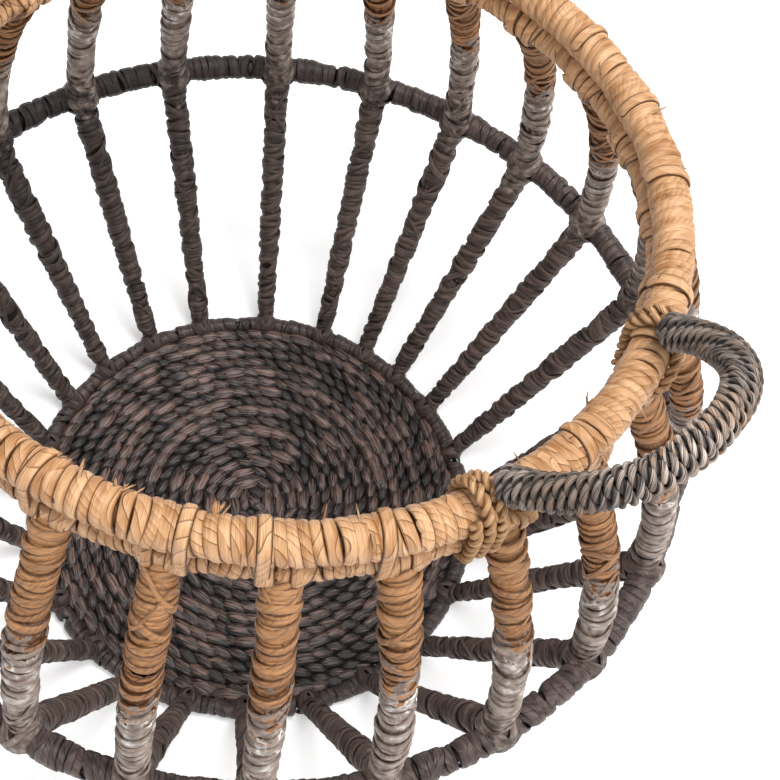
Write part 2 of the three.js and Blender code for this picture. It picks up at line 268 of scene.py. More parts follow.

    # The core fills the binding, just under the strip. Its mark gives it most of the dark colour
    # of the seams: painted shade in the gaps between turns
    core_shade_mark = (0, 0.83, 0)
    level_core = add(tree, "ShaderNodeVectorMath", {0: normal, "Scale": side}, operation="SCALE")
    upright_core = add(tree, "ShaderNodeVectorMath", {0: across, "Scale": lift}, operation="SCALE")
    round_core = add(tree, "ShaderNodeVectorMath", [level_core, upright_core], operation="ADD")
    inner = add(tree, "ShaderNodeMath", [lump, half_thick], operation="SUBTRACT")
    out_core = add(tree, "ShaderNodeVectorMath", {0: round_core, "Scale": inner},
                   operation="SCALE")
    placed_core = add(tree, "ShaderNodeVectorMath", [point, out_core], operation="ADD")
    slices = add(tree, "ShaderNodeMath", [value["Turns"], 2], operation="MULTIPLY")
    core_rod = add(tree, "GeometryNodeMeshCylinder", {
        "Vertices": 10, "Side Segments": slices, "Radius": 1, "Depth": 1})
    core_marked = add(tree, "GeometryNodeStoreNamedAttribute", {
        "Geometry": core_rod.outputs["Mesh"], "Name": "strip", "Value": core_shade_mark},
        data_type="FLOAT_VECTOR", domain="POINT")
    core = add(tree, "GeometryNodeSetPosition", {"Geometry": core_marked, "Position": placed_core})
    both = add(tree, "GeometryNodeJoinGeometry")
    for part in (strip, core):
        tree.links.new(part.outputs[0], both.inputs[0])
    return finish_tree(tree, both, value["Material"])


def leaf_shader(name, pale, deep, seam_and_shade, roughness, strip_width):
    """Dried leaf, split and dampened before it was wound: long fibres, diagonal folds where
    the strip was twisted, dark seams between turns, and a dull waxy shine. Painted shade
    darkens the folds and the strip's sides, and each facet between folds is painted from
    dark to light."""
    material, tree, shader = new_material(name)
    strip = add(tree, "ShaderNodeAttribute", attribute_name="strip")
    parts = add(tree, "ShaderNodeSeparateXYZ", [strip.outputs["Vector"]])
    run, side, turn = parts.outputs

    # Fibres drawn along the strip
    fibre_width = 0.0003
    fibre_length = 0.012
    fibres_per_side = strip_width / 2 / fibre_width
    fibre_run = add(tree, "ShaderNodeMath", [run, 1 / fibre_length], operation="MULTIPLY")
    fibre_side = add(tree, "ShaderNodeMath", [side, fibres_per_side], operation="MULTIPLY")
    fibre_place = add(tree, "ShaderNodeCombineXYZ", [fibre_run, fibre_side, turn])
    fibre = add(tree, "ShaderNodeTexNoise", {"Vector": fibre_place, "Scale": 1, "Detail": 2})
    blotch_place = add(tree, "ShaderNodeVectorMath", {0: fibre_place, 1: (0.8, 0.1, 0.3)},
                       operation="MULTIPLY")
    blotch = add(tree, "ShaderNodeTexNoise", {"Vector": blotch_place, "Scale": 1, "Detail": 2})
    tint = add(tree, "ShaderNodeTexNoise", {"W": turn, "Scale": 1.3, "Detail": 0},
               noise_dimensions="1D")

    # Strips are twisted as they are wound, most on the front half, and slanting folds cross
    # them there. Painted shade darkens each of them.
    fold_spacing = 0.007
    fold_run = add(tree, "ShaderNodeMath", [run, 1 / fold_spacing], operation="MULTIPLY")
    fold_slant = add(tree, "ShaderNodeMath", [side, -0.5, fold_run], operation="MULTIPLY_ADD")
    fold_own = add(tree, "ShaderNodeMath", [tint, 9, fold_slant], operation="MULTIPLY_ADD")
    warp_place = add(tree, "ShaderNodeVectorMath", {0: fibre_place, 1: (0.9, 0.03, 0.5)},
                     operation="MULTIPLY")
    warp = add(tree, "ShaderNodeTexNoise", {"Vector": warp_place, "Scale": 1, "Detail": 0})
    fold_bent = add(tree, "ShaderNodeMath", [warp, 2.4, fold_own], operation="MULTIPLY_ADD")
    facet = add(tree, "ShaderNodeMath", [fold_bent], operation="FRACT")
    # Painted shade: a dark line at the foot of each facet
    fold_shade_line = add(tree, "ShaderNodeMapRange", {
        "Value": facet, "From Min": 0.13, "From Max": 0.02})
    shown = add(tree, "ShaderNodeMapRange", {"Value": warp, "From Min": 0.36, "From Max": 0.5})
    place = add(tree, "ShaderNodeTexCoord").outputs["Object"]
    depth = add(tree, "ShaderNodeSeparateXYZ", [place]).outputs["Y"]
    twisted = add(tree, "ShaderNodeMapRange", {
        "Value": depth, "From Min": 0.05, "From Max": -0.02})
    shown = add(tree, "ShaderNodeMath", [shown, twisted], operation="MULTIPLY")
    fold_shade = add(tree, "ShaderNodeMath", [fold_shade_line, shown], operation="MULTIPLY")

    tone = add(tree, "ShaderNodeMath", [blotch, 1.5, -0.75], operation="MULTIPLY_ADD")
    tone = add(tree, "ShaderNodeMath", [fibre, 1.5, tone], operation="MULTIPLY_ADD")
    tone = add(tree, "ShaderNodeMath", [tint, 0.7, tone], operation="MULTIPLY_ADD")
    # Painted light and shade: the colour grades from dark to light across each facet between the
    # folds, as the bump does
    tone = add(tree, "ShaderNodeMath", [facet, 0.5, tone], operation="MULTIPLY_ADD")
    tone = add(tree, "ShaderNodeMath", [tone, 0.75], operation="SUBTRACT", use_clamp=True)
    # Painted shade: each strip darkens towards its sides, in the gaps between turns, over the dark
    # seams there
    edge_near = add(tree, "ShaderNodeMath", [side], operation="ABSOLUTE")
    edge = add(tree, "ShaderNodeMapRange", {
        "Value": edge_near, "From Min": 0.66, "From Max": 0.94, "To Max": 0.95},
        interpolation_type="SMOOTHSTEP")
    flesh = add(tree, "ShaderNodeMix", {0: tone, 6: srgb(deep), 7: srgb(pale)}, data_type="RGBA")
    speck = add(tree, "ShaderNodeTexNoise", {"Vector": fibre_place, "Scale": 1.9, "Detail": 1})
    specked = add(tree, "ShaderNodeMapRange", {
        "Value": speck, "From Min": 0.64, "From Max": 0.70, "To Max": 0.55})
    mark = add(tree, "ShaderNodeMath", [fold_shade, 0.88, specked], operation="MULTIPLY_ADD")
    dark = add(tree, "ShaderNodeMath", [mark, edge], operation="MAXIMUM", use_clamp=True)
    colour = add(tree, "ShaderNodeMix", {0: dark, 6: flesh, 7: srgb(seam_and_shade)}, data_type="RGBA")

    relief = add(tree, "ShaderNodeMath", [facet, shown], operation="MULTIPLY")
    relief = add(tree, "ShaderNodeMath", [fibre, 0.7, relief], operation="MULTIPLY_ADD")
    bump = add(tree, "ShaderNodeBump", {"Strength": 0.8, "Distance": 0.0009, "Height": relief})
    tree.links.new(bump.outputs[0], shader.inputs["Normal"])
    shader.inputs["Roughness"].default_value = roughness
    return material, tree, shader, colour, blotch


def link_colour(tree, shader, colour):
    """The mix's colour output is the shader's base colour."""
    tree.links.new(next(s for s in colour.outputs if s.enabled), shader.inputs["Base Color"])


def add_painted_shade(tree, colour):
    """Painted shade: the stain darkens towards the floor and on the -X side, away from the lamps.
    """
    foot_shade_height = 0.06
    shade_side_start, shade_side_end = -0.06, -0.20
    place = add(tree, "ShaderNodeTexCoord").outputs["Object"]
    apart = add(tree, "ShaderNodeSeparateXYZ", [place])
    foot_shade = add(tree, "ShaderNodeMapRange", {
        "Value": apart.outputs["Z"], "From Min": foot_shade_height, "From Max": 0.0, "To Max": 0.45})
    side_shade = add(tree, "ShaderNodeMapRange", {
        "Value": apart.outputs["X"], "From Min": shade_side_start, "From Max": shade_side_end,
        "To Max": 0.7})
    painted_shade = add(tree, "ShaderNodeMath", [foot_shade, side_shade], operation="MAXIMUM")
    return add(tree, "ShaderNodeMix", {0: painted_shade, 6: colour, 7: srgb("120D0C")},
               data_type="RGBA")


def rib_leaf():
    """Natural leaf at the top, growing paler upwards, then a brushed coat of silver paint with a
    soft metal gleam and pale patches painted as glints near its top, then dark stain with
    painted shade towards the floor and on the -X side. The paint reaches higher under the
    right handle."""
    material, tree, shader, natural, blotch = leaf_shader(
        "Leaf strip, natural to silver to dark stain", "B57E4A", "633616", "2E1608", 0.5, 0.0044)
    place = add(tree, "ShaderNodeTexCoord").outputs["Object"]
    height = add(tree, "ShaderNodeSeparateXYZ", [place]).outputs["Z"]
    daub = add(tree, "ShaderNodeTexNoise", {"Vector": place, "Scale": 190, "Detail": 3})
    sweep = add(tree, "ShaderNodeTexNoise", {"Vector": place, "Scale": 11, "Detail": 0})
    lifted = add(tree, "ShaderNodeMath", [sweep, 0.05, -0.025], operation="MULTIPLY_ADD")
    strokes = add(tree, "ShaderNodeMath", [daub, 0.09, -0.045], operation="MULTIPLY_ADD")
    edge_height = add(tree, "ShaderNodeMath", [lifted, strokes], operation="ADD")
    under_grip = (0.19, 0.03, 0.235)
    off_handle = add(tree, "ShaderNodeVectorMath", [place, under_grip], operation="DISTANCE")
    under_handle = add(tree, "ShaderNodeMapRange", {
        "Value": off_handle, "From Min": 0.065, "From Max": 0.035, "To Max": 0.014})
    level = add(tree, "ShaderNodeMath", [height, under_handle], operation="SUBTRACT")
    ragged = add(tree, "ShaderNodeMath", [edge_height, level], operation="ADD")
    silvered = add(tree, "ShaderNodeMapRange", {
        "Value": ragged, "From Min": silver_top, "From Max": silver_top - 0.003})
    stained = add(tree, "ShaderNodeMapRange", {
        "Value": ragged, "From Min": silver_bottom + silver_fade_above,
        "From Max": silver_bottom - silver_fade_below})
    cover = add(tree, "ShaderNodeMath", [daub, 2.6, -0.8], operation="MULTIPLY_ADD",
                use_clamp=True)
    paint = add(tree, "ShaderNodeMix", {0: cover, 6: srgb("746359"), 7: srgb("B4A499")},
                data_type="RGBA")
    # Painted glints: pale patches of the paint in a band just under its top, standing in for the
    # light it catches
    glint_band = add(tree, "ShaderNodeMapRange", {
        "Value": ragged, "From Min": silver_top - glint_band_depth,
        "From Max": silver_top - 0.008})
    glint_spots = add(tree, "ShaderNodeMapRange", {"Value": daub, "From Min": 0.52, "From Max": 0.62})
    painted_glint = add(tree, "ShaderNodeMath", [glint_band, glint_spots], operation="MULTIPLY")
    silver = add(tree, "ShaderNodeMix", {0: painted_glint, 6: paint, 7: srgb("DAD6D3")},
                 data_type="RGBA")
    uneven = add(tree, "ShaderNodeMath", [blotch, 2.6, -0.75], operation="MULTIPLY_ADD",
                 use_clamp=True)
    stain = add(tree, "ShaderNodeMix", {0: uneven, 6: srgb("1C1513"), 7: srgb("6B574F")},
                data_type="RGBA")
    # Painted shade on the stain, towards the floor and on the -X side
    stain = add_painted_shade(tree, stain)
    # The natural leaf is paler towards the rib's top
    paler_near_top = add(tree, "ShaderNodeMapRange", {
        "Value": height, "From Min": 0.235, "From Max": 0.29, "To Max": 0.22})
    leaf = add(tree, "ShaderNodeMix", {0: paler_near_top, 6: natural, 7: srgb("DCAA7A")},
               data_type="RGBA")
    upper = add(tree, "ShaderNodeMix", {0: silvered, 6: leaf, 7: silver}, data_type="RGBA")
    colour = add(tree, "ShaderNodeMix", {0: stained, 6: upper, 7: stain}, data_type="RGBA")
    link_colour(tree, shader, colour)
    bare = add(tree, "ShaderNodeMath", [1, stained], operation="SUBTRACT")
    painted = add(tree, "ShaderNodeMath", [silvered, bare], operation="MULTIPLY")
    glint = add(tree, "ShaderNodeMath", [painted_glint, 0.5, 0.2], operation="MULTIPLY_ADD")
    gleam = add(tree, "ShaderNodeMath", [painted, glint], operation="MULTIPLY")
    tree.links.new(gleam.outputs[0], shader.inputs["Metallic"])
    sheen = add(tree, "ShaderNodeMapRange", {"Value": painted, "To Min": 0.55, "To Max": 0.3})
    tree.links.new(sheen.outputs[0], shader.inputs["Roughness"])
    return material


def wind(name, tree, points, closed, values):
    """The mesh piece that a tree makes along a line of points."""
    path = path_object(name + " path", points, closed)
    piece = grow(name, tree, {"Path": path, **values})
    bpy.data.objects.remove(path)
    return piece


winding = winding_tree()
rib_material = rib_leaf()
for index in range(rib_count):
    seed = 17.0 * index
    rib = wind(f"Rib_binding_{index + 1:02d}", winding, rib_line(index), False, {
        "Turns": rib_length / rib_strip_pitch, "Steps": 14,
        "Start Radius": rib_foot_radius, "End Radius": rib_top_radius,
        "Strip Width": 0.0042, "Strip Thickness": 0.0018, "Shingle": 0.0004,
        "Slant": 0.0026, "Wander": 25.0, "Lump": 0.0016, "Rag": 0.5, "Seed": seed,
        "Material": rib_material,
    })
    crossing = wind(f"Rib_crossing_{index + 1:02d}", winding, rib_line(index), False, {
        "Turns": rib_length / rib_crossing_pitch, "Steps": 16,
        "Start Radius": rib_foot_radius + rib_crossing_foot_lift,
        "End Radius": rib_top_radius + rib_crossing_top_lift,
        "Strip Width": 0.0046, "Strip Thickness": 0.0016, "Shingle": 0.0003,
        "Slant": 0.008, "Wander": 25.0, "Lump": 0.0010, "Rag": 0.6, "Seed": seed + 7,
        "Material": rib_material,
    })
    for piece in (rib, crossing):
        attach(piece, "root")
        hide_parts(f"rib_binding_{index + 1:02d}")


# Base and belly hoops
# Rings of wire bound with the same leaf, stained dark brown before it was wound.
def stained_leaf():
    """Leaf dyed in a hot brown-black bath, which takes unevenly and leaves a faint gloss. Painted
    shade darkens it towards the floor and on the -X side.
    """
    material, tree, shader, colour, _ = leaf_shader(
        "Leaf strip, dark stain", "604F4A", "211A18", "0D0A09", 0.42, 0.0048)
    # Painted shade on the stain, towards the floor and on the -X side
    link_colour(tree, shader, add_painted_shade(tree, colour))
    return material


def hoop_line(radius, height):
    """A ring that starts at the back, where its first and last turns meet."""
    start = 120
    steps = 144
    return [polar(radius, start + 360 * i / steps, height) for i in range(steps)]


stained_material = stained_leaf()
base_hoop = wind("Base_hoop_binding", winding, hoop_line(base_radius, base_height), True, {
    "Turns": 200.0, "Steps": 14, "Start Radius": 0.0041, "End Radius": 0.0041,
    "Strip Width": 0.0062, "Strip Thickness": 0.0018, "Shingle": 0.0004,
    "Slant": 0.0028, "Wander": 20.0, "Lump": 0.0008, "Rag": 0.7, "Seed": 401.0,
    "Material": stained_material,
})
belly_hoop = wind("Belly_hoop_binding", winding, hoop_line(belly_radius, belly_height), True, {
    "Turns": 420.0, "Steps": 14, "Start Radius": 0.0059, "End Radius": 0.0059,
    "Strip Width": 0.0050, "Strip Thickness": 0.0020, "Shingle": 0.0004,
    "Slant": 0.0026, "Wander": 20.0, "Lump": 0.0012, "Rag": 0.6, "Seed": 402.0,
    "Material": stained_material,
})
for piece, node in ((base_hoop, "base_hoop_binding"), (belly_hoop, "belly_hoop_binding")):
    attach(piece, "root")
    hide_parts(node)


# Rib crossings
# Where a rib passes inside a hoop, strips of leaf lash the two together in an X, round both
# and across every corner. They are stained with the ribs, and silvered above the belly.
def leaf_straps(name, runs, thickness):
    """Strips of leaf as one mesh. Each run is its spots, as (centre, way out), and a width."""
    corners = 6
    end_taper = 0.35
    fibre_offset = 3.7
    places, faces, marks = [], [], []
    ring = [(math.cos(2 * math.pi * j / corners), math.sin(2 * math.pi * j / corners))
            for j in range(corners)]
    for number, (spots, width) in enumerate(runs):
        first = len(places)
        rows = len(spots)
        travelled = 0
        for i, (point, out) in enumerate(spots):
            ahead = spots[min(i + 1, rows - 1)][0] - spots[max(i - 1, 0)][0]
            across = ahead.normalized().cross(out).normalized()
            taper = end_taper if i in (0, rows - 1) else 1
            if i:
                travelled += (point - spots[i - 1][0]).length
            for side, lift in ring:
                places.append(
                    point + side * taper * width / 2 * across + lift * thickness / 2 * out)
                marks.append((travelled, side, number * fibre_offset))
        for i in range(rows - 1):
            for j in range(corners):
                a = first + corners * i + j
                b = first + corners * i + (j + 1) % corners
                faces.append((a, a + corners, b + corners, b))
        faces.append([first + j for j in range(corners)])
        faces.append([first + corners * rows - 1 - j for j in range(corners)])
    mesh = bpy.data.meshes.new(name)
    mesh.from_pydata(places, [], faces)
    mesh.attributes.new("strip", "FLOAT_VECTOR", "POINT").data.foreach_set(
        "vector", [number for mark in marks for number in mark])
    mesh.shade_smooth()
    piece = bpy.data.objects.new(name, mesh)
    bpy.context.scene.collection.objects.link(piece)
    return piece


# Each lashed hoop's radius, height and reach, the share of a foot's shift that its ribs have,
# and the spacing of the strips
lashed_hoops = (
    (base_radius, base_height + 0.0023, 0.0055, 1.0, 0.0016),
    ((belly_radius + rib_belly_radius) / 2, belly_height, 0.0094, 0.5, 0.0026),
)
crossing_strip_width = 0.0046
crossing_strip_thickness = 0.0016
crossing_steps = 24
crossing_slack = 0.0006
crossing_layer_lift = 0.0004
lashing_luck = random.Random(3)
runs = []
for index in range(rib_count):
    for radius, height, reach, share, spacing in lashed_hoops:
        azimuth = 360 * index / rib_count + foot_shift[index] * share
        centre = polar(radius, azimuth, height)
        outward = polar(1, azimuth, 0)
        level = polar(1, azimuth + 90, 0)
        upright = Vector((0, 0, 1))
        for slope in (-1, 1):
            diagonal = (level + slope * upright).normalized()
            beside = (level - slope * upright).normalized()
            for layer in range(-1, 2):
                slack = lashing_luck.uniform(-crossing_slack, crossing_slack)
                shift = (spacing * layer + slack) * beside
                lift = crossing_layer_lift * (1 - abs(layer))
                swell = reach + lift + lashing_luck.uniform(0, crossing_layer_lift)
                spots = []
                for i in range(crossing_steps + 1):
                    turn = math.radians(360 * i / crossing_steps)
                    out = math.cos(turn) * outward + math.sin(turn) * diagonal
                    spots.append((centre + shift + swell * out, out))
                runs.append((spots, crossing_strip_width))
crossings = leaf_straps("Rib_crossing_lashings", runs, crossing_strip_thickness)
crossings.data.materials.append(rib_material)
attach(crossings, "root")


# Base mat
# A flat spiral of twisted leaf rope, dyed dark and sewn row to row. From above each twist
# shows as one slanting grain, fuller in the middle than at its ends.
mat_radius = 0.1195
mat_row = 0.0072
mat_middle_height = 0.0046


def mat_tree():
    """Grains set along a spiral, each turned to its row and leaned a little across it."""
    tree, given = new_tree("Spiral mat", {
        "Radius": "Float", "Row": "Float", "Grain Spacing": "Float", "Grain Length": "Float",
        "Grain Height": "Float", "Lean": "Float", "Level": "Float", "Seed": "Int",
        "Material": "Material",
    })
    value = given.outputs
    rows = add(tree, "ShaderNodeMath", [value["Radius"], value["Row"]], operation="DIVIDE")
    spiral = add(tree, "GeometryNodeCurveSpiral", {
        "Resolution": 48, "Rotations": rows, "Start Radius": 0.002, "End Radius": value["Radius"],
        "Height": 0})
    last_row = add(tree, "GeometryNodeCurvePrimitiveCircle", {
        "Resolution": 96, "Radius": value["Radius"]}, mode="RADIUS")
    coil = add(tree, "GeometryNodeJoinGeometry")
    tree.links.new(spiral.outputs[0], coil.inputs[0])
    tree.links.new(last_row.outputs[0], coil.inputs[0])
    grains = add(tree, "GeometryNodeResampleCurve", {
        "Curve": coil, "Length": value["Grain Spacing"]}, mode="LENGTH")
    points = add(tree, "GeometryNodeCurveToPoints", {"Curve": grains}, mode="EVALUATED")

    grain = add(tree, "GeometryNodeMeshUVSphere", {"Segments": 10, "Rings": 6, "Radius": 0.5})
    grain_place = add(tree, "GeometryNodeInputPosition")
    apart = add(tree, "ShaderNodeSeparateXYZ", [grain_place])
    bow = add(tree, "ShaderNodeMath", [apart.outputs[0], apart.outputs[0]], operation="MULTIPLY")
    bent = add(tree, "ShaderNodeMath", [bow, 0.5, apart.outputs[1]], operation="MULTIPLY_ADD")
    bent_place = add(tree, "ShaderNodeCombineXYZ", [apart.outputs[0], bent, apart.outputs[2]])
    shaped = add(tree, "GeometryNodeSetPosition", {
        "Geometry": grain.outputs["Mesh"], "Position": bent_place})
    marked = add(tree, "GeometryNodeStoreNamedAttribute", {
        "Geometry": shaped, "Name": "grain", "Value": grain_place},
        data_type="FLOAT_VECTOR", domain="POINT")

    lean = add(tree, "FunctionNodeRandomValue", {
        "Min": -0.22, "Max": 0.22, "Seed": value["Seed"]}, data_type="FLOAT")
    leaned = add(tree, "ShaderNodeMath", [lean.outputs[1], value["Lean"]], operation="ADD")
    roll = add(tree, "FunctionNodeRandomValue", {
        "Min": -0.35, "Max": 0.35, "Seed": value["Seed"]}, data_type="FLOAT")
    turned = add(tree, "ShaderNodeCombineXYZ", [roll.outputs[1], 0, leaned])
    facing = add(tree, "FunctionNodeAlignRotationToVector", {
        "Vector": points.outputs["Tangent"]}, axis="X", pivot_axis="Z")
    rotation = add(tree, "FunctionNodeRotateRotation", {
        "Rotation": facing, "Rotate By": turned}, rotation_space="LOCAL")
    girth = add(tree, "FunctionNodeRandomValue", {
        "Min": 0.8, "Max": 1.25, "Seed": value["Seed"]}, data_type="FLOAT")
    width = add(tree, "ShaderNodeMath", [value["Row"], 1.12], operation="MULTIPLY")
    size = add(tree, "ShaderNodeCombineXYZ", [value["Grain Length"], width, value["Grain Height"]])
    varied = add(tree, "ShaderNodeVectorMath", {0: size, "Scale": girth.outputs[1]},
                 operation="SCALE")
    set_out = add(tree, "GeometryNodeInstanceOnPoints", {
        "Points": points.outputs["Points"], "Instance": marked, "Rotation": rotation,
        "Scale": varied})
    shade = add(tree, "FunctionNodeRandomValue", {"Seed": value["Seed"]}, data_type="FLOAT")
    shaded = add(tree, "GeometryNodeStoreNamedAttribute", {
        "Geometry": set_out, "Name": "shade", "Value": shade.outputs[1]},
        data_type="FLOAT", domain="INSTANCE")
    raised = add(tree, "ShaderNodeCombineXYZ", [0, 0, value["Level"]])
    placed = add(tree, "GeometryNodeTransform", {"Geometry": shaded, "Translation": raised})

    # The rope is solid right through, so a plain disc closes the gaps under its crests. It
    # has no grain marks and so takes the rope's near-black: painted shade in those gaps
    disc_depth = 0.004
    disc_middle = 0.0032
    disc = add(tree, "GeometryNodeMeshCylinder", {
        "Vertices": 64, "Radius": value["Radius"], "Depth": disc_depth})
    lifted = add(tree, "ShaderNodeCombineXYZ", [0, 0, disc_middle])
    laid = add(tree, "GeometryNodeTransform", {
        "Geometry": disc.outputs["Mesh"], "Translation": lifted})

    # The rope's own end is rolled up in the middle
    knob_size = [0.011, 0.0105, 0.0095]
    knob = add(tree, "ShaderNodeCombineXYZ", knob_size)
    rolled = add(tree, "GeometryNodeTransform", {
        "Geometry": marked, "Translation": raised, "Scale": knob})
    toned = add(tree, "GeometryNodeStoreNamedAttribute", {
        "Geometry": rolled, "Name": "shade", "Value": 0.6}, data_type="FLOAT", domain="POINT")
    whole = add(tree, "GeometryNodeJoinGeometry")
    for part in (placed, toned, laid):
        tree.links.new(part.outputs[0], whole.inputs[0])
    return finish_tree(tree, whole, value["Material"])


def mat_rope():
    """Dyed leaf rope: long fibres on each grain, with painted light on its crown and painted shade
    down its sides.
    """
    material, tree, shader = new_material("Twisted leaf rope, dark stain")
    grain = add(tree, "ShaderNodeAttribute", attribute_name="grain").outputs["Vector"]
    shade = add(tree, "ShaderNodeAttribute", attribute_name="shade").outputs["Fac"]
    drawn = add(tree, "ShaderNodeVectorMath", {0: grain, 1: (2, 11, 6)}, operation="MULTIPLY")
    own = add(tree, "ShaderNodeMath", [shade, 40], operation="MULTIPLY")
    fibre = add(tree, "ShaderNodeTexNoise", {"Vector": drawn, "W": own, "Scale": 1, "Detail": 3},
                noise_dimensions="4D")
    crown = add(tree, "ShaderNodeSeparateXYZ", [grain]).outputs["Z"]
    # Painted light on each grain's crown and painted shade down its sides
    crown_light = add(tree, "ShaderNodeMapRange", {"Value": crown, "From Min": 0.0, "From Max": 0.5})
    tone = add(tree, "ShaderNodeMath", [fibre, 4.2, -3.3], operation="MULTIPLY_ADD")
    tone = add(tree, "ShaderNodeMath", [crown_light, 1.2, tone], operation="MULTIPLY_ADD")
    tone = add(tree, "ShaderNodeMath", [shade, 0.6, tone], operation="MULTIPLY_ADD",
               use_clamp=True)
    brown = add(tree, "ShaderNodeTexNoise", {"W": own, "Scale": 1.7}, noise_dimensions="1D")
    faded = add(tree, "ShaderNodeMix", {0: brown, 6: srgb("836355"), 7: srgb("7A635D")},
                data_type="RGBA")
    colour = add(tree, "ShaderNodeMix", {0: tone, 6: srgb("0E0908"), 7: faded}, data_type="RGBA")
    link_colour(tree, shader, colour)
    bump = add(tree, "ShaderNodeBump", {"Strength": 0.8, "Distance": 0.0012, "Height": fibre})
    tree.links.new(bump.outputs[0], shader.inputs["Normal"])
    shader.inputs["Roughness"].default_value = 0.42
    return material


mat = grow("Base_mat_rope", mat_tree(), {
    "Radius": mat_radius, "Row": mat_row, "Grain Spacing": 0.0095, "Grain Length": 0.0185,
    "Grain Height": 0.0064, "Lean": -0.26, "Level": mat_middle_height, "Seed": 7,
    "Material": mat_rope(),
})
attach(mat, "root")
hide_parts("base_mat")


# Rim
# The frame's top ring, bound with natural leaf, carries a thick cane hoop bound with wider
# strips. Straps of leaf hold the two together beside each rib.
rim_height = 0.308


def natural_leaf():
    """Leaf dried in the sun and left undyed: honey tan, with painted shade in its folds."""
    material, tree, shader, colour, _ = leaf_shader(
        "Leaf strip, natural", "DAAC80", "A06B39", "4C2C11", 0.45, 0.0054)
    link_colour(tree, shader, colour)
    return material


natural_material = natural_leaf()
lower_rim = wind("Lower_rim_binding", winding, hoop_line(mouth_radius, lower_rim_height), True, {
    "Turns": 280.0, "Steps": 16, "Start Radius": 0.0062, "End Radius": 0.0062,
    "Strip Width": 0.0048, "Strip Thickness": 0.0027, "Shingle": 0.0004,
    "Slant": 0.0022, "Wander": 3.0, "Lump": 0.0008, "Rag": 0.3, "Seed": 403.0,
    "Material": natural_material,
})
upper_rim = wind("Upper_rim_binding", winding, hoop_line(mouth_radius, rim_height), True, {
    "Turns": 224.0, "Steps": 20, "Start Radius": 0.0074, "End Radius": 0.0074,
    "Strip Width": 0.0059, "Strip Thickness": 0.0032, "Shingle": 0.0004,
    "Slant": 0.0021, "Wander": 2.0, "Lump": 0.0008, "Rag": 0.3, "Seed": 404.0,
    "Material": natural_material,
})
for piece, node in ((lower_rim, "rim_lower_binding"), (upper_rim, "rim_upper_hoop")):
    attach(piece, "root")
    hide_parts(node)


# Straps at the rib tops
# Where a rib meets the rim, strips cross from its neck round the lower hoop to both sides,
# and a longer strap beside it is pulled tight round both hoops.
def round_hoop(height, reach, degrees, azimuth):
    """A point beside the rim, at an angle round a hoop's section, and its way out."""
    swing = math.radians(degrees)
    out = polar(math.cos(swing), azimuth, math.sin(swing))
    return polar(mouth_radius + reach * math.cos(swing), azimuth,
                 height + reach * math.sin(swing)), out


degrees_per_metre = math.degrees(1) / mouth_radius
lower_reach = 0.0078
upper_reach = 0.0092
neck_strip_width = 0.0052
collar_width = 0.0062
tie_width = 0.0058
strap_thickness = 0.0022
neck_steps = 20
neck_layer_draw_in = 0.0028
neck_layer_shift = 0.0012
neck_layer_lift = 0.0004
tie_steps = 12
tie_lift = 0.0012
strap_luck = random.Random(5)
runs = []
for index in range(rib_count):
    azimuth = 360 * index / rib_count

    # Four strips to each side cross from the rib's neck, each a little further in and higher
    for side in (-1, 1):
        for layer in range(4):
            far = strap_luck.uniform(0.009, 0.011) - neck_layer_draw_in * layer
            near = neck_layer_shift * layer
            reach = lower_reach + neck_layer_lift * layer
            spots = []
            for i in range(neck_steps + 1):
                offset = near + far * math.sin(math.pi * i / neck_steps) ** 0.8
                spots.append(round_hoop(
                    lower_rim_height, reach, -80 + 340 * i / neck_steps,
                    azimuth + side * offset * degrees_per_metre))
            runs.append((spots, neck_strip_width))

    # A collar in line with the rib, then the tie round both hoops
    collar = [round_hoop(lower_rim_height, lower_reach, 10 * i - 70, azimuth) for i in range(31)]
    runs.append((collar, collar_width))
    side = strap_luck.choice((-1, 1))
    offset = side * strap_luck.uniform(0.007, 0.010)
    slant = strap_luck.uniform(-0.003, 0.003)
    spots = []
    for i in range(2 * tie_steps + 1):
        shift = (offset + slant * (i / tie_steps - 1)) * degrees_per_metre
        under = i <= tie_steps
        height, reach = (lower_rim_height, lower_reach + tie_lift) if under else (
            rim_height, upper_reach)
        degrees = 15 * (i + tie_steps if under else i - tie_steps)
        spots.append(round_hoop(height, reach, degrees, azimuth + shift))
    runs.append((spots, tie_width))
straps = leaf_straps("Rib_top_straps", runs, strap_thickness)
straps.data.materials.append(natural_material)
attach(straps, "root")


# Frayed ends
# Short ends of strip stand up where one leaf ran out and the next was tucked in. Three tufts
# of them show on the inner side of the rim.
def fray(height, reach, degrees, lean, azimuth, drift, rise, width):
    """One strip end, which lifts off its hoop towards its tip."""
    steps = 4
    spots = [round_hoop(height, reach + rise * (i / steps) ** 2, degrees + lean * i,
                        azimuth + drift * i / steps * degrees_per_metre)
             for i in range(steps + 1)]
    return spots, width


fray_luck = random.Random(11)
fray_count = 130
fray_thickness = 0.0004
fray_upper_reach = 0.0079
fray_lower_reach = 0.0068
short_rise, middle_rise, long_rise = 0.0008, 0.0016, 0.0070
tuft_ends = 6
tuft_reach = 0.0081

